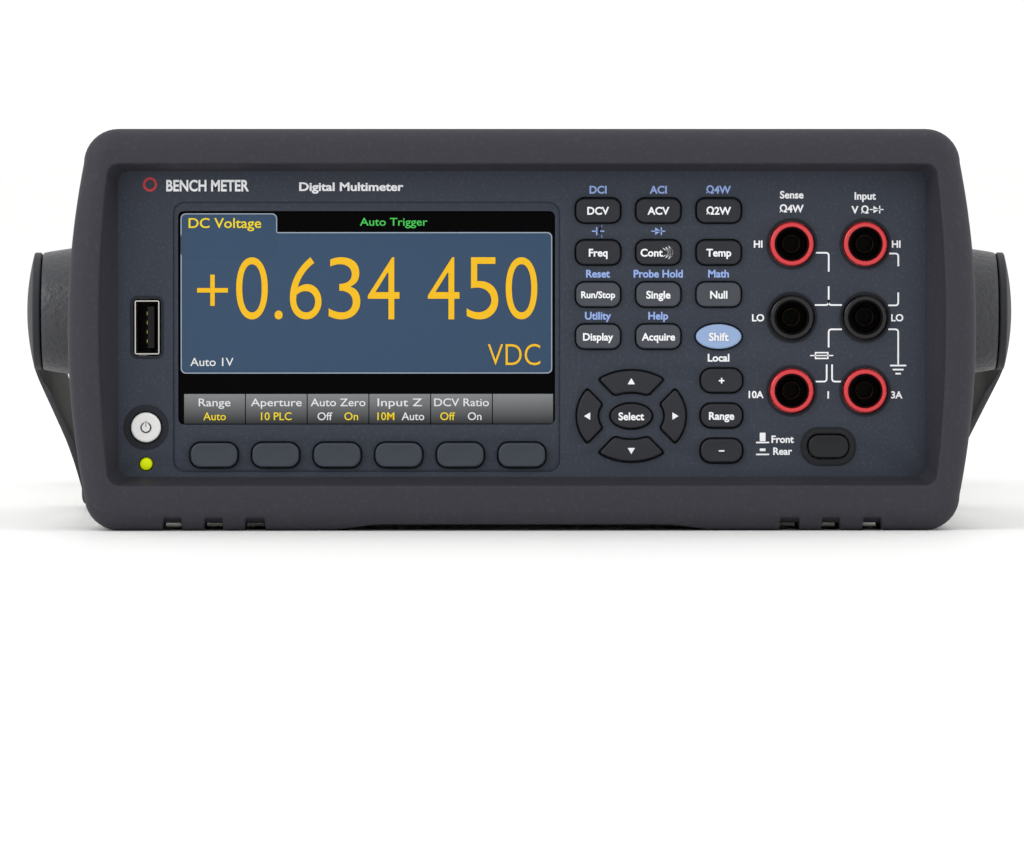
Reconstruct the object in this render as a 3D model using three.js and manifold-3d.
// Bench multimeter: a metal-sleeved instrument with rubber bumpers at both ends, a swinging carrying
// handle, a front panel of keys around a display, six banana jacks, and the boards and rear
// connectors that make it work.
// Millimetres, +Z up. The origin is the centre of the footprint on the table; the front faces -Y.
import * as THREE from 'three';
import { mergeVertices } from 'three/addons/utils/BufferGeometryUtils.js';
import { ConvexGeometry } from 'three/addons/geometries/ConvexGeometry.js';
import Module from 'manifold-3d';

const wasm = await Module();
wasm.setup();

// ---------------------------------------------------------------- driving dimensions

const overallDepth = 303.2;    // bumper face to bumper face
const caseWidth = 212.8;       // metal sleeve, outside
const caseHeight = 88.3;
const caseLift = 9.1;          // sleeve underside above the table
const coverWall = 1.5;
const caseCorner = 3;          // outside corner radius of sleeve and panel
const gap = 0.3;               // assembly clearance between neighbouring pieces
const overcut = 1;             // how far a cutter runs past the face it opens

const bumperSide = 6.9;        // rubber outside the sleeve at its corners
const bumperTop = 6.4;
const bumperBow = 4.2;         // extra swell at mid height
const bumperCorner = 9;
const bumperEdge = 5.5;        // rounding of the outer front edge
const frontBumper = { depth: 30, recess: 9.7, lipSide: 1.6, lipTop: 4.5, flareSide: 4.3, flareTop: 1.7 };
const rearBumper = { depth: 33.6, recess: 20, lipSide: 4.9, lipTop: 5.2, flareSide: 3, flareTop: 1.7 };
const footRelief = { height: 1.7, flat: 38, end: 50 };
const footGrooves = [[66.5, 71.5], [77.4, 82], [88, 92.7]];
const grooveHeight = 1.8;

const panelWall = 2.5;
const panelRim = { wall: 2, depth: 10 };
const rearPanelWall = 2;
const rearPanelInset = 0.3;    // rear panel face inside the end of the sleeve
const trayWall = 1.2;
const trayFlange = 16;
const boardWall = 1.6;

const screen = { x: -40.25, z: 54.85, width: 97.6, height: 55.3 };
const screenFrame = { x: -40.25, z: 49.9, width: 100.2, height: 70, radius: 3, depth: 0.5 };
const lens = { margin: 2.4, wall: 1.2, sunk: 0.8 };
const moduleWall = 3.2;

const keyProud = 1.2;          // key face in front of the panel
const keyTravel = 1;
const keyFlange = { reach: 0.8, wall: 1.2 };
const keyStem = 2.4;           // side of the square stem behind each flange
const keyCrown = 0.5;          // chamfer around each key face
const functionKey = { width: 11.4, height: 6.2, radius: 1.4 };
const shiftKey = { width: 11.8, height: 6.4, oval: true };
const functionColumns = [19.7, 35.3, 50.95];
const functionRows = [82.65, 71.8, 60.9, 50];
const softKey = { width: 12.1, height: 6.3, radius: 1.6 };
const softKeyRow = { x: -79.8, pitch: 15.95, count: 6, z: 19.3 };
const rangeKey = { width: 10.7, height: 6.1, radius: 2.4 };
const rangeColumn = { x: 51.7, top: 38.6, pitch: 9.1 };
const navPad = { x: 28.3, z: 29.4, outerX: 14.1, outerZ: 11.8, innerX: 8.7, innerZ: 6.2, split: 4 };
const selectKey = { halfX: 5.35, halfZ: 3.2 };
const powerKey = { x: -97.4, z: 26.5, radius: 3.87 };
const led = { x: -97.4, z: 17, radius: 1.55, flange: 2.2, proud: 0.3 };
const usbHost = { x: -97.1, z: 52.4, width: 6.6, height: 14.2, depth: 14, wall: 0.5 };
const usbTongue = { wall: 1.9, height: 11, offset: 1, sunk: 1 };

const jack = { radius: 5.67, mouth: 4.2, contact: 2.4, bore: 2, proud: 1.6, sunk: 5, depth: 12, back: 3 };
const jackFlange = { reach: 1.3, wall: 1.5, neck: 1 };
const jackColumns = [69.9, 88.95];
const jackRows = [74, 54.95, 35.9];
const terminalSwitch = { x: 79.4, z: 21.5, width: 10.4, height: 6, radius: 2.6, proud: 2.4, travel: 3 };
const switchRod = { side: 3, length: 40 };

const pivotBack = 60;          // handle pivot behind the front bumper's face
const pivotHeight = 55.5;
const hubBoss = { rootRadius: 18.6, endRadius: 15.6, length: 19.6, clearance: 0.5 };
const hubDisc = { radius: 15.6, wall: 4, dome: 2, flat: 10.4 };
const pivotPin = { radius: 5, length: 3.2, clearance: 0.3 };
const handleReach = 95;        // pivot to the middle of the grip
const gripSection = { width: 22, height: 5.5, rest: 3.8 };
const armWall = 3;
const armNecks = [             // reach from the pivot, step in from the disc's face, half width there
  { reach: 67, step: 9.6, half: 7 }, { reach: 80, step: 11.4, half: 6.5 }];

const inlet = { x: -68, z: 40, width: 32, height: 25, depth: 22, mouth: [24.5, 16.5], mouthDepth: 16 };
const inletPin = { width: 2, height: 4, spread: 7, lift: 2, sunk: 5 };
const fuseDrawer = { x: -68, z: 66, width: 28, height: 12, depth: 14, proud: 2 };
const rearBlock = { x: 78, z: 54, width: 36, height: 66, depth: 18, proud: 3, pitch: 19.05 };
const bnc = { x: 42, z: 28, pitch: 22, radius: 4.8, collar: 6.6, bore: 3.6, length: 14, collarWall: 3 };
const bncContact = { radius: 0.8, sunk: 3 };
const lanSocket = { x: 10, z: 28, width: 16, height: 13.5, depth: 20, mouth: [11.8, 8], mouthDepth: 13 };
const usbDevice = { x: -14, z: 28, width: 12, height: 11, depth: 16, mouth: [8.5, 7.8], mouthDepth: 9 };
const usbDeviceTongue = { width: 5.6, height: 3.2 };
const optionCover = { x: -6, z: 66, width: 66, height: 22, wall: 1.5 };
const earthPost = { x: -36, z: 24, radius: 2.5, nut: 5, nutWall: 3, length: 10 };
const fuseCap = { x: 42, z: 76, radius: 7, proud: 6, depth: 24, slot: 1.6 };

const mainBoard = { left: -98, right: 56, fromFront: 34, length: 180, lift: 4, leg: 3, inset: 8 };
const frontBoardEdge = { side: 4, right: 60 };   // inside the rim, and where the board stops
const transformer = { x: 40, fromRear: 42, width: 58, depth: 44, height: 50, core: 18, winding: 36 };
const vent = { width: 3, height: 42, pitch: 8, count: 9, z: 54, fromRear: 50 };

const colours = {
  rubber: 0x3b3b41, sleeve: 0xc9c7c0, steel: 0xb9bbbd, panel: 0x3a3f48, glass: 0x0c0d10, display: 0x1d2630,
  board: 0x1f5b35, softKey: 0x3d4149, darkKey: 0x35363b, greyKey: 0x4c4d52, shiftKey: 0x9fb3d8,
  power: 0xe6e4e2, lamp: 0xc8e600, nickel: 0xb4b6b8, redJack: 0xd5282e, blackJack: 0x141416,
  black: 0x1a1b1e, brass: 0xc9b26a, winding: 0x6b5a3a, handle: 0x34353a,
};

// ---------------------------------------------------------------- planes worked out from them

const front = -overallDepth / 2;
const rear = overallDepth / 2;
const halfWidth = caseWidth / 2;
const caseTop = caseLift + caseHeight;
const panelFace = front + frontBumper.recess + gap;
const panelBack = panelFace + panelWall;
const rimBack = panelBack + panelRim.depth - panelWall;
const coverFront = rimBack + gap;
const coverBack = rear - rearBumper.recess - gap;
const rearPanelFace = coverBack - rearPanelInset;
const rearPanelBack = rearPanelFace - rearPanelWall;
const lensFront = panelBack + gap;
const lensBack = lensFront + lens.wall;
const moduleFront = lensBack + gap;
const moduleBack = moduleFront + moduleWall;
const boardFront = moduleBack + gap;
const flangeFront = panelBack + gap;
const flangeBack = flangeFront + keyFlange.wall;
const stemBack = boardFront - keyTravel - gap;
const trayTop = caseLift + coverWall + gap + trayWall;
const bossRoot = halfWidth + gap;
const bossEnd = bossRoot + hubBoss.length;
const discInner = bossEnd + gap;
const discOuter = discInner + hubDisc.wall;

// ---------------------------------------------------------------- shape helpers

// Turns a closed geometry into a solid for joining and cutting.
function toSolid(geometry) {
  const plain = geometry.clone();
  plain.deleteAttribute('normal');
  plain.deleteAttribute('uv');
  const merged = mergeVertices(plain, 1e-4);
  const vertProperties = new Float32Array(merged.attributes.position.array);
  const triVerts = new Uint32Array(merged.index.array);
  return new wasm.Manifold(new wasm.Mesh({ numProp: 3, vertProperties, triVerts }));
}

function toGeometry(solid) {
  const mesh = solid.getMesh();
  const geometry = new THREE.BufferGeometry();
  geometry.setAttribute('position', new THREE.BufferAttribute(new Float32Array(mesh.vertProperties), 3));
  geometry.setIndex(new THREE.BufferAttribute(new Uint32Array(mesh.triVerts), 1));
  return geometry;
}

function join(first, ...others) {
  return toGeometry(others.reduce((solid, other) => solid.add(toSolid(other)), toSolid(first)));
}

function cut(first, ...others) {
  return toGeometry(others.reduce((solid, other) => solid.subtract(toSolid(other)), toSolid(first)));
}

// Mirror image across the plane x = 0.
function mirrored(geometry) {
  const image = geometry.clone().scale(-1, 1, 1);
  const order = image.index.array;
  for (let corner = 0; corner < order.length; corner += 3) {
    [order[corner], order[corner + 1]] = [order[corner + 1], order[corner]];
  }
  return image;
}

// Box between two corners.
function box(x0, x1, y0, y1, z0, z1) {
  const geometry = new THREE.BoxGeometry(x1 - x0, y1 - y0, z1 - z0);
  return geometry.translate((x0 + x1) / 2, (y0 + y1) / 2, (z0 + z1) / 2);
}

// Box centred on (x, z), running from y0 to y1.
function block(x, z, width, height, y0, y1) {
  return box(x - width / 2, x + width / 2, y0, y1, z - height / 2, z + height / 2);
}

// Cylinder or cone along Y, centred on (x, z).
function rodY(x, z, radius, y0, y1, sides = 20, backRadius = radius) {
  const geometry = new THREE.CylinderGeometry(backRadius, radius, y1 - y0, sides);
  return geometry.translate(x, (y0 + y1) / 2, z);
}

// Cylinder or cone along X, centred on (y, z); the radii are those at x0 and x1.
function rodX(y, z, radius0, radius1, x0, x1, sides = 24) {
  const geometry = new THREE.CylinderGeometry(radius0, radius1, x1 - x0, sides);
  return geometry.rotateZ(Math.PI / 2).translate((x0 + x1) / 2, y, z);
}

// Outline points of a rounded rectangle centred on the origin.
function roundRect(width, height, radius, steps = 2) {
  const points = [];
  for (let corner = 0; corner < 4; corner += 1) {
    const signX = corner === 0 || corner === 3 ? 1 : -1;
    const signZ = corner < 2 ? 1 : -1;
    for (let step = 0; step <= steps; step += 1) {
      const angle = (corner + step / steps) * Math.PI / 2;
      const x = signX * (width / 2 - radius) + radius * Math.cos(angle);
      points.push(new THREE.Vector2(x, signZ * (height / 2 - radius) + radius * Math.sin(angle)));
    }
  }
  return points;
}

function ellipse(halfX, halfZ, steps = 16) {
  const points = [];
  for (let step = 0; step < steps; step += 1) {
    const angle = 2 * Math.PI * step / steps;
    points.push(new THREE.Vector2(halfX * Math.cos(angle), halfZ * Math.sin(angle)));
  }
  return points;
}

// Straight plate of an outline given in the XZ plane, from y0 to y1.
function plate(points, x, z, y0, y1) {
  const shape = new THREE.Shape(points);
  const geometry = new THREE.ExtrudeGeometry(shape, { depth: y1 - y0, bevelEnabled: false });
  return geometry.rotateX(Math.PI / 2).translate(x, y1, z);
}

// Convex body through outlines that lie at different depths: [{ y, points }, ...].
function hull(sections, x = 0, z = 0) {
  const corners = sections.flatMap(({ y, points }) => points.map(
    (p) => new THREE.Vector3(p.x + x, y, p.y + z)));
  return new ConvexGeometry(corners);
}

// Rounded outline whose sides swell outwards by `bow` at mid height.
function bowedOutline(half, low, high, radius, bow) {
  const middle = (low + high) / 2;
  const straight = (high - low) / 2 - radius;
  const steps = 7;
  const right = [];
  for (const [sign, start] of [[-1, -0.5], [1, 0]]) {
    for (let step = 0; step <= 4; step += 1) {
      const angle = (start + step / 8) * Math.PI;
      const x = half - radius + radius * Math.cos(angle);
      right.push(new THREE.Vector2(x, middle + sign * straight + radius * Math.sin(angle)));
    }
    for (let step = 1; sign < 0 && step < steps; step += 1) {
      const t = 2 * step / steps - 1;
      right.push(new THREE.Vector2(half + bow * (1 - t * t), middle + straight * t));
    }
  }
  const left = right.map((p) => new THREE.Vector2(-p.x, p.y)).reverse();
  return [...right, ...left];
}

const group = new THREE.Group();

function add(name, geometry, color, roughness, metalness = 0) {
  const material = new THREE.MeshStandardMaterial({ color, roughness, metalness });
  const mesh = new THREE.Mesh(geometry, material);
  mesh.name = name;
  group.add(mesh);
  return mesh;
}

// ---------------------------------------------------------------- bumpers

// One bumper with its face at y = 0 and its body running towards +Y.
function bumperShell({ depth, recess, lipSide, lipTop, flareSide, flareTop }) {
  const half = halfWidth + bumperSide;
  const high = caseTop + bumperTop;
  const sections = [{ y: depth, points: bowedOutline(half, 0, high, bumperCorner, bumperBow) }];
  for (const angle of [0, Math.PI / 6, Math.PI / 3, Math.PI / 2]) {
    const inset = bumperEdge * (1 - Math.sin(angle));
    const corner = bumperCorner - inset;
    const points = bowedOutline(half - inset, inset, high - inset, corner, bumperBow);
    sections.push({ y: bumperEdge * (1 - Math.cos(angle)), points });
  }
  const mouth = (flare, flareZ, bow) => {
    const side = halfWidth - lipSide + flare;
    return bowedOutline(side, caseLift + lipTop - flareZ, caseTop - lipTop + flareZ, caseCorner, bow);
  };
  const flared = mouth(flareSide / 2, flareTop, flareSide / 2);
  const throat = mouth(0, 0, 0);
  const flareCut = hull([{ y: -overcut, points: flared }, { y: 0, points: flared },
    { y: recess, points: throat }]);
  const throatCut = plate(throat, 0, 0, recess - overcut / 2, recess + overcut);
  const pocket = roundRect(caseWidth + 2 * gap, caseHeight + 2 * gap, caseCorner + gap);
  const pocketCut = plate(pocket, 0, (caseLift + caseTop) / 2, recess, depth + overcut);
  const relief = [[-footRelief.end, 0], [-footRelief.flat, footRelief.height],
    [footRelief.flat, footRelief.height], [footRelief.end, 0],
    [footRelief.end, -overcut], [-footRelief.end, -overcut]].map(([x, z]) => new THREE.Vector2(x, z));
  const cuts = [flareCut, throatCut, pocketCut, plate(relief, 0, 0, -overcut, depth + overcut)];
  for (const [inner, outer] of footGrooves) {
    cuts.push(box(inner, outer, -overcut, depth + overcut, -overcut, grooveHeight));
    cuts.push(box(-outer, -inner, -overcut, depth + overcut, -overcut, grooveHeight));
  }
  return cut(hull(sections), ...cuts);
}

add('front_bumper', bumperShell(frontBumper).translate(0, front, 0), colours.rubber, 0.75);
const rearShell = bumperShell(rearBumper).rotateZ(Math.PI);
add('rear_bumper', rearShell.translate(0, rear, 0), colours.rubber, 0.75);

// ---------------------------------------------------------------- sleeve, tray and rear panel

const caseMiddle = caseLift + caseHeight / 2;
const sleeveOutline = (inset, steps = 4) =>
  roundRect(caseWidth - 2 * inset, caseHeight - 2 * inset, Math.max(caseCorner - inset, gap), steps);

const ventCuts = [];
for (let index = 0; index < vent.count; index += 1) {
  const y = coverBack - vent.fromRear - index * vent.pitch;
  const half = vent.height / 2;
  ventCuts.push(box(-halfWidth - overcut, halfWidth + overcut, y - vent.width / 2, y + vent.width / 2,
    vent.z - half, vent.z + half));
}
const sleeve = cut(plate(sleeveOutline(0), 0, caseMiddle, coverFront, coverBack),
  plate(sleeveOutline(coverWall), 0, caseMiddle, coverFront - overcut, coverBack + overcut), ...ventCuts);
add('case_cover', sleeve, colours.sleeve, 0.5, 0.3);

const trayHalf = halfWidth - caseCorner - gap;
const trayLow = trayTop - trayWall;
const trayBack = rearPanelBack - gap;
const tray = cut(box(-trayHalf, trayHalf, coverFront, trayBack, trayLow, trayTop + trayFlange),
  box(-trayHalf + trayWall, trayHalf - trayWall, coverFront - overcut, trayBack + overcut,
    trayTop, trayTop + trayFlange + overcut));
add('chassis_tray', tray, colours.steel, 0.4, 0.8);

// Cutters for what passes through the rear panel, each a clearance larger than the piece.
const rearCut = [rearPanelBack - overcut, rearPanelFace + overcut];
const rearWindow = (item) =>
  block(item.x, item.z, item.width + 2 * gap, item.height + 2 * gap, ...rearCut);
const rearHole = ({ x, z, radius }) => rodY(x, z, radius + gap, ...rearCut);
const rearPanel = cut(plate(sleeveOutline(coverWall + gap), 0, caseMiddle, rearPanelBack, rearPanelFace),
  ...[inlet, fuseDrawer, rearBlock, lanSocket, usbDevice].map(rearWindow),
  ...[bnc, { ...bnc, z: bnc.z + bnc.pitch }, earthPost, fuseCap].map(rearHole));
add('rear_panel', rearPanel, colours.steel, 0.45, 0.6);

// ---------------------------------------------------------------- front panel

const keyOutline = (key, grow = 0) => (key.oval
  ? ellipse(key.width / 2 + grow, key.height / 2 + grow)
  : roundRect(key.width + 2 * grow, key.height + 2 * grow, Math.max(key.radius + grow, gap)));
const keyList = [];
for (let index = 0; index < softKeyRow.count; index += 1) {
  const x = softKeyRow.x + index * softKeyRow.pitch;
  const name = `soft_key_${index + 1}`;
  keyList.push({ name, x, z: softKeyRow.z, key: softKey, color: colours.softKey });
}
const functionNames = [['dc_voltage_key', 'ac_voltage_key', 'resistance_key'],
  ['frequency_key', 'continuity_key', 'temperature_key'], ['run_key', 'single_key', 'null_key'],
  ['display_key', 'acquire_key', 'shift_key']];
functionRows.forEach((z, row) => functionColumns.forEach((x, column) => {
  const name = functionNames[row][column];
  const color = row < 2 ? colours.darkKey : colours.greyKey;
  const shift = name === 'shift_key' && { key: shiftKey, color: colours.shiftKey };
  keyList.push({ name, x, z, key: functionKey, color, ...shift });
}));
['range_up_key', 'range_auto_key', 'range_down_key'].forEach((name, index) => {
  const z = rangeColumn.top - index * rangeColumn.pitch;
  keyList.push({ name, x: rangeColumn.x, z, key: rangeKey, color: colours.greyKey });
});

// Quarter of the ring pad: a band between two ellipses, its ends set back by half the split.
function navOutline(middleAngle, grow = 0) {
  const arc = (halfX, halfZ) => {
    const side = navPad.split / 2 - grow;
    const reach = Math.PI / 4 - Math.asin(side / Math.hypot(halfX, halfZ) * Math.SQRT2);
    const steps = 4;
    return Array.from({ length: steps + 1 }, (unused, step) => {
      const angle = middleAngle + reach * (2 * step / steps - 1);
      return new THREE.Vector2(halfX * Math.cos(angle), halfZ * Math.sin(angle));
    });
  };
  const outer = arc(navPad.outerX + grow, navPad.outerZ + grow);
  return [...outer, ...arc(navPad.innerX - grow, navPad.innerZ - grow).reverse()];
}
const navNames = ['nav_right_key', 'nav_up_key', 'nav_left_key', 'nav_down_key'];
const selectOutline = (grow = 0) => ellipse(selectKey.halfX + grow, selectKey.halfZ + grow);

const panelCut = [panelFace - overcut, panelBack + overcut];
const throughPanel = (points, x, z) => plate(points, x, z, ...panelCut);
const panelCuts = keyList.map(({ x, z, key }) => throughPanel(keyOutline(key, gap), x, z));
navNames.forEach((name, index) => {
  panelCuts.push(throughPanel(navOutline(index * Math.PI / 2, gap), navPad.x, navPad.z));
});
panelCuts.push(throughPanel(selectOutline(gap), navPad.x, navPad.z));
panelCuts.push(throughPanel(keyOutline(terminalSwitch, gap), terminalSwitch.x, terminalSwitch.z));
panelCuts.push(throughPanel(roundRect(screen.width, screen.height, 1.5), screen.x, screen.z));
const usbWindow = roundRect(usbHost.width + 2 * gap, usbHost.height + 2 * gap, gap);
panelCuts.push(throughPanel(usbWindow, usbHost.x, usbHost.z));
panelCuts.push(rodY(powerKey.x, powerKey.z, powerKey.radius + gap, ...panelCut));
panelCuts.push(rodY(led.x, led.z, led.radius + gap, ...panelCut, 12));
for (const z of jackRows) {
  for (const x of jackColumns) {
    panelCuts.push(rodY(x, z, jack.radius + gap, ...panelCut, 18));
  }
}
const framePoints = roundRect(screenFrame.width, screenFrame.height, screenFrame.radius);
panelCuts.push(plate(framePoints, screenFrame.x, screenFrame.z,
  panelFace - overcut, panelFace + screenFrame.depth));
const panelBody = cut(plate(sleeveOutline(0, 2), 0, caseMiddle, panelFace, rimBack),
  plate(sleeveOutline(panelRim.wall, 2), 0, caseMiddle, panelBack, rimBack + overcut), ...panelCuts);
add('front_panel', panelBody, colours.panel, 0.6);

const behindScreen = (y0, y1) =>
  block(screen.x, screen.z, screen.width + 2 * lens.margin, screen.height + 2 * lens.margin, y0, y1);
const lensFace = plate(roundRect(screen.width - 2 * gap, screen.height - 2 * gap, 1.2), screen.x, screen.z,
  panelFace + lens.sunk, lensFront + lens.wall / 2);
add('display_window', join(behindScreen(lensFront, lensBack), lensFace), colours.glass, 0.08);
add('display_module', behindScreen(moduleFront, moduleBack), colours.display, 0.4);

const frontBoard = cut(
  box(-halfWidth + panelRim.wall + frontBoardEdge.side, frontBoardEdge.right,
    boardFront, boardFront + boardWall, trayTop + trayWall, caseTop - panelRim.wall - gap),
  block(usbHost.x, usbHost.z, usbHost.width + 4 * gap, usbHost.height + 4 * gap,
    boardFront - overcut, boardFront + boardWall + overcut));
add('front_board', frontBoard, colours.board, 0.55);

// ---------------------------------------------------------------- keys

const proudFace = panelFace - keyProud;

// Key cap with a chamfered or plain face, the flange that holds it behind the panel, and its stem.
function keySolid(outline, crowned, x, z, flange, stemX = x, stemZ = z) {
  const cap = crowned
    ? hull([{ y: proudFace, points: outline(-keyCrown) }, { y: proudFace + keyCrown, points: outline(0) },
      { y: flangeFront + keyFlange.wall / 2, points: outline(0) }], x, z)
    : plate(outline(0), x, z, proudFace, flangeFront + keyFlange.wall / 2);
  const stem = block(stemX, stemZ, keyStem, keyStem, flangeBack - keyFlange.wall / 2, stemBack);
  return join(cap, flange, stem);
}

const keyFlangeBlock = (x, z, width, height) =>
  block(x, z, width + 2 * keyFlange.reach, height + 2 * keyFlange.reach, flangeFront, flangeBack);
for (const { name, x, z, key, color } of keyList) {
  const outline = (grow) => keyOutline(key, grow);
  add(name, keySolid(outline, true, x, z, keyFlangeBlock(x, z, key.width, key.height)), color, 0.55);
}
navNames.forEach((name, index) => {
  const angle = index * Math.PI / 2;
  const outline = (grow) => navOutline(angle, grow);
  const stemX = navPad.x + Math.cos(angle) * (navPad.outerX + navPad.innerX) / 2;
  const stemZ = navPad.z + Math.sin(angle) * (navPad.outerZ + navPad.innerZ) / 2;
  const flange = plate(outline(keyFlange.reach), navPad.x, navPad.z, flangeFront, flangeBack);
  const cap = keySolid(outline, false, navPad.x, navPad.z, flange, stemX, stemZ);
  add(name, cap, colours.greyKey, 0.55);
});
const selectWidth = 2 * (selectKey.halfX - keyFlange.reach);
const selectFlange = keyFlangeBlock(navPad.x, navPad.z, selectWidth, 2 * selectKey.halfZ);
const selectCap = keySolid(selectOutline, true, navPad.x, navPad.z, selectFlange);
add('select_key', selectCap, colours.greyKey, 0.55);

const powerOutline = (grow) => ellipse(powerKey.radius + grow, powerKey.radius + grow);
const powerFlange = keyFlangeBlock(powerKey.x, powerKey.z, 2 * powerKey.radius, 2 * powerKey.radius);
const powerCap = keySolid(powerOutline, true, powerKey.x, powerKey.z, powerFlange);
add('power_key', powerCap, colours.power, 0.4);

const switchFace = panelFace - terminalSwitch.proud;
const switchCap = hull([{ y: switchFace, points: keyOutline(terminalSwitch, -keyCrown) },
  { y: switchFace + keyCrown, points: keyOutline(terminalSwitch) },
  { y: flangeBack, points: keyOutline(terminalSwitch) }], terminalSwitch.x, terminalSwitch.z);
const switchFlange = keyFlangeBlock(terminalSwitch.x, terminalSwitch.z,
  terminalSwitch.width, terminalSwitch.height);
const rodEnd = flangeBack + switchRod.length;
const pushRod = block(terminalSwitch.x, terminalSwitch.z, switchRod.side, switchRod.side,
  flangeBack - keyFlange.wall / 2, rodEnd);
add('terminal_switch', join(switchCap, switchFlange, pushRod), colours.darkKey, 0.5);

// ---------------------------------------------------------------- lamp, sockets and jacks on the front

const lamp = join(rodY(led.x, led.z, led.radius, panelFace - led.proud, flangeBack, 12),
  rodY(led.x, led.z, led.flange, flangeFront, flangeBack, 12));
add('power_led', lamp, colours.lamp, 0.3);

const usbBack = panelFace + usbHost.depth;
const usbInner = { width: usbHost.width - 2 * usbHost.wall, height: usbHost.height - 2 * usbHost.wall };
const usbShell = cut(
  block(usbHost.x, usbHost.z, usbHost.width, usbHost.height, panelFace - gap, usbBack),
  block(usbHost.x, usbHost.z, usbInner.width, usbInner.height,
    panelFace - overcut, usbBack - usbHost.wall));
const tongue = block(usbHost.x + usbTongue.offset, usbHost.z, usbTongue.wall, usbTongue.height,
  panelFace + usbTongue.sunk, usbBack - usbHost.wall / 2);
add('usb_host_socket', join(usbShell, tongue), colours.nickel, 0.3, 0.9);

// Shrouded banana socket turned about its own axis; y = 0 is the panel face and +Y points inwards.
function jackSolid() {
  const end = jack.depth + jack.back;
  const body = jack.radius - jackFlange.neck;
  const flange = jack.radius + jackFlange.reach;
  const seat = panelWall + gap;
  const contactEnd = jack.sunk - jack.proud;
  const profile = [[0, end], [body, end], [body, seat + jackFlange.wall],
    [flange, seat + jackFlange.wall], [flange, seat], [jack.radius, seat],
    [jack.radius, -jack.proud], [jack.mouth, -jack.proud], [jack.mouth, jack.depth],
    [jack.contact, jack.depth], [jack.contact, contactEnd], [jack.bore, contactEnd],
    [jack.bore, jack.depth], [0, jack.depth]].map(([radius, y]) => new THREE.Vector2(radius, y));
  return new THREE.LatheGeometry(profile.reverse(), 14);
}
const jackNames = [['sense_high_jack', 'input_high_jack'], ['sense_low_jack', 'input_low_jack'],
  ['current_large_jack', 'current_small_jack']];
jackRows.forEach((z, row) => jackColumns.forEach((x, column) => {
  const color = row === 1 ? colours.blackJack : colours.redJack;
  add(jackNames[row][column], jackSolid(), color, 0.35).position.set(x, panelFace, z);
}));

// ---------------------------------------------------------------- inside

const boardLow = trayTop + gap + mainBoard.lift;
const boardStart = front + mainBoard.fromFront;
const boardEnd = boardStart + mainBoard.length;
const legs = [];
for (const x of [mainBoard.left + mainBoard.inset, mainBoard.right - mainBoard.inset]) {
  for (const y of [boardStart + mainBoard.inset, boardEnd - mainBoard.inset]) {
    legs.push(box(x - mainBoard.leg, x + mainBoard.leg, y - mainBoard.leg, y + mainBoard.leg,
      trayTop + gap, boardLow + boardWall / 2));
  }
}
const boardPlate = box(mainBoard.left, mainBoard.right, boardStart, boardEnd,
  boardLow, boardLow + boardWall);
add('main_board', join(boardPlate, ...legs), colours.board, 0.55);

// Laminated core across the case with the winding through its middle.
const transformerY = rearPanelBack - transformer.fromRear;
const coreLow = trayTop + gap;
const coreMiddle = coreLow + transformer.height / 2;
const core = block(transformer.x, coreMiddle, transformer.width, transformer.height,
  transformerY - transformer.core / 2, transformerY + transformer.core / 2);
const winding = block(transformer.x, coreMiddle, transformer.winding, transformer.winding,
  transformerY - transformer.depth / 2, transformerY + transformer.depth / 2);
add('transformer', join(core, winding), colours.winding, 0.6);

// ---------------------------------------------------------------- rear connectors

const socketFace = rearPanelFace + rearPanelWall;

// Socket body through the rear panel with a rectangular mouth and, where given, pieces standing in it.
function rearSocket(item, innards = []) {
  const body = block(item.x, item.z, item.width, item.height, rearPanelFace - item.depth, socketFace);
  const mouth = block(item.x, item.z, ...item.mouth, socketFace - item.mouthDepth, socketFace + overcut);
  const open = cut(body, mouth);
  return innards.length ? join(open, ...innards) : open;
}
const pins = [-1, 0, 1].map((side) => {
  const pinZ = inlet.z + inletPin.lift * (side === 0 ? 1 : -1);
  return block(inlet.x + side * inletPin.spread, pinZ, inletPin.width, inletPin.height,
    socketFace - inlet.mouthDepth - overcut, socketFace - inletPin.sunk);
});
add('power_inlet', rearSocket(inlet, pins), colours.black, 0.5);
add('lan_socket', rearSocket(lanSocket), colours.nickel, 0.35, 0.8);
const deviceTongue = block(usbDevice.x, usbDevice.z, usbDeviceTongue.width, usbDeviceTongue.height,
  socketFace - usbDevice.mouthDepth - overcut, rearPanelFace);
add('usb_device_socket', rearSocket(usbDevice, [deviceTongue]), colours.nickel, 0.35, 0.8);
add('fuse_drawer', block(fuseDrawer.x, fuseDrawer.z, fuseDrawer.width, fuseDrawer.height,
  rearPanelFace - fuseDrawer.depth, rearPanelFace + fuseDrawer.proud), colours.black, 0.5);

const blockFace = rearPanelFace + rearBlock.proud;
const wellFloor = blockFace - jack.depth;
const terminalPlaces = [[-0.5, 1], [0.5, 1], [-0.5, 0], [0.5, 0], [0, -1]].map(
  ([column, row]) => [rearBlock.x + column * rearBlock.pitch, rearBlock.z + row * rearBlock.pitch]);
const terminalWells = terminalPlaces.map(
  ([x, z]) => rodY(x, z, jack.mouth, wellFloor, blockFace + overcut, 12));
const terminalTubes = terminalPlaces.map(([x, z]) => cut(
  rodY(x, z, jack.contact, wellFloor - overcut, blockFace - jack.sunk, 10),
  rodY(x, z, jack.bore, wellFloor, blockFace, 10)));
const terminalBody = block(rearBlock.x, rearBlock.z, rearBlock.width, rearBlock.height,
  rearPanelFace - rearBlock.depth, blockFace);
add('rear_terminals', join(cut(terminalBody, ...terminalWells), ...terminalTubes), colours.black, 0.5);

// Ring of metal in front of the rear panel (side 1) or behind it (side -1).
function collar(item, radius, wall, sides, side) {
  const start = side > 0 ? rearPanelFace + gap : rearPanelBack - gap - wall;
  return rodY(item.x, item.z, radius, start, start + wall, sides);
}

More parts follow.
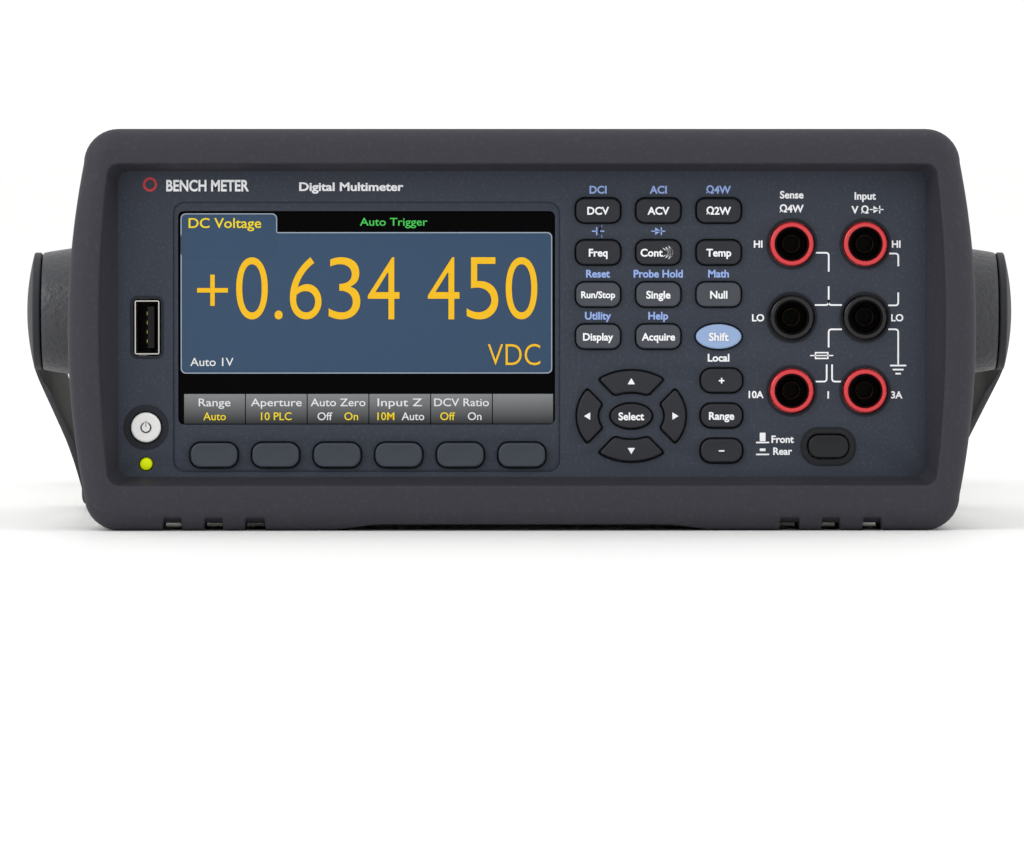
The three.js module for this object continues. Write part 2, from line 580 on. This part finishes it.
['trigger_connector', 'meter_complete_connector'].forEach((name, index) => {
  const item = { x: bnc.x, z: bnc.z + index * bnc.pitch };
  const start = rearPanelBack - gap - bnc.collarWall;
  const end = rearPanelFace + bnc.length;
  const floor = rearPanelFace + bnc.collarWall;
  const barrel = join(rodY(item.x, item.z, bnc.radius, start, end, 14),
    ...[1, -1].map((side) => collar(item, bnc.collar, bnc.collarWall, 14, side)));
  const bore = rodY(item.x, item.z, bnc.bore, floor, end + overcut, 12);
  const contact = rodY(item.x, item.z, bncContact.radius, floor - overcut, end - bncContact.sunk, 6);
  add(name, join(cut(barrel, bore), contact), colours.nickel, 0.3, 0.9);
});

add('option_cover', block(optionCover.x, optionCover.z, optionCover.width, optionCover.height,
  rearPanelFace + gap, rearPanelFace + gap + optionCover.wall), colours.steel, 0.45, 0.6);
const stud = rodY(earthPost.x, earthPost.z, earthPost.radius,
  rearPanelBack - gap - earthPost.nutWall, rearPanelFace + earthPost.length, 14);
const nuts = [1, -1].map((side) => collar(earthPost, earthPost.nut, earthPost.nutWall, 6, side));
add('earth_post', join(stud, ...nuts), colours.brass, 0.35, 0.9);
const capFace = rearPanelFace + fuseCap.proud;
const capBody = rodY(fuseCap.x, fuseCap.z, fuseCap.radius, rearPanelFace - fuseCap.depth, capFace, 22);
const capSlot = block(fuseCap.x, fuseCap.z, fuseCap.radius, fuseCap.slot,
  capFace - fuseCap.slot, capFace + overcut);
add('current_fuse_cap', cut(capBody, capSlot), colours.black, 0.5);

// ---------------------------------------------------------------- hubs and carrying handle

const pivotY = front + pivotBack;

// Boss on the +X side of the sleeve, with the pin that the handle turns on.
function hubBossSolid() {
  const { radius, length } = pivotPin;
  const pin = rodX(pivotY, pivotHeight, radius, radius, bossEnd - overcut, bossEnd + length, 16);
  return join(rodX(pivotY, pivotHeight, hubBoss.rootRadius, hubBoss.endRadius, bossRoot, bossEnd), pin);
}
add('hub_boss_right', hubBossSolid(), colours.handle, 0.7);
add('hub_boss_left', mirrored(hubBossSolid()), colours.handle, 0.7);

const gripDrop = pivotHeight - gripSection.rest;
const gripY = pivotY + Math.sqrt(handleReach ** 2 - gripDrop ** 2);
const gripEnd = { outer: discOuter - armNecks[1].step, radius: gripSection.height / 2 };

// Convex arm stretch between two flat ends, each given by its outline in the YZ plane and its X span.
function armHull(ends) {
  const corners = ends.flatMap(({ y, z, radius, x0, x1 }) => {
    const ring = Array.from({ length: 12 }, (unused, step) => step * Math.PI / 6);
    return ring.flatMap((angle) => [x0, x1].map(
      (x) => new THREE.Vector3(x, y + radius * Math.cos(angle), z + radius * Math.sin(angle))));
  });
  return new ConvexGeometry(corners);
}
// Ends of the arm's stretches: two necks on the line to the grip, then the grip's own section.
const neckEnds = armNecks.map(({ reach, step, half }) => ({
  y: pivotY + (gripY - pivotY) * reach / handleReach,
  z: pivotHeight - gripDrop * reach / handleReach,
  radius: half,
  x0: discOuter - step - armWall,
  x1: discOuter - step,
}));
const gripEnds = [-1, 1].map((side) => ({
  y: gripY + side * (gripSection.width / 2 - gripEnd.radius),
  z: gripSection.rest,
  radius: gripEnd.radius,
  x0: gripEnd.outer - armWall,
  x1: gripEnd.outer,
}));

function armSolid() {
  const domeStart = discOuter - hubDisc.dome;
  const disc = join(rodX(pivotY, pivotHeight, hubDisc.radius, hubDisc.radius, discInner, domeStart),
    rodX(pivotY, pivotHeight, hubDisc.radius, hubDisc.flat, domeStart, discOuter));
  const root = { y: pivotY, z: pivotHeight, radius: hubDisc.radius, x0: discInner, x1: domeStart };
  const stretches = [[root, neckEnds[0]], neckEnds, [neckEnds[1], ...gripEnds]].map(armHull);
  const holeRadius = pivotPin.radius + pivotPin.clearance;
  const pinHole = rodX(pivotY, pivotHeight, holeRadius, holeRadius, discInner - overcut,
    bossEnd + pivotPin.length + gap, 16);
  const bossClear = rodX(pivotY, pivotHeight, hubBoss.rootRadius + hubBoss.clearance,
    hubBoss.endRadius + hubBoss.clearance, bossRoot, discInner);
  return cut(join(disc, ...stretches), bossClear, pinHole);
}
const gripOutline = roundRect(gripSection.width, gripSection.height, gripEnd.radius * 0.98);
const grip = new THREE.ExtrudeGeometry(new THREE.Shape(gripOutline), {
  depth: 2 * gripEnd.outer - armWall, bevelEnabled: false,
}).rotateX(Math.PI / 2).rotateZ(Math.PI / 2);
grip.translate(armWall / 2 - gripEnd.outer, gripY, gripSection.rest);
const rightArm = armSolid();
add('handle', join(grip, rightArm, mirrored(rightArm)), colours.handle, 0.65);

export default group;
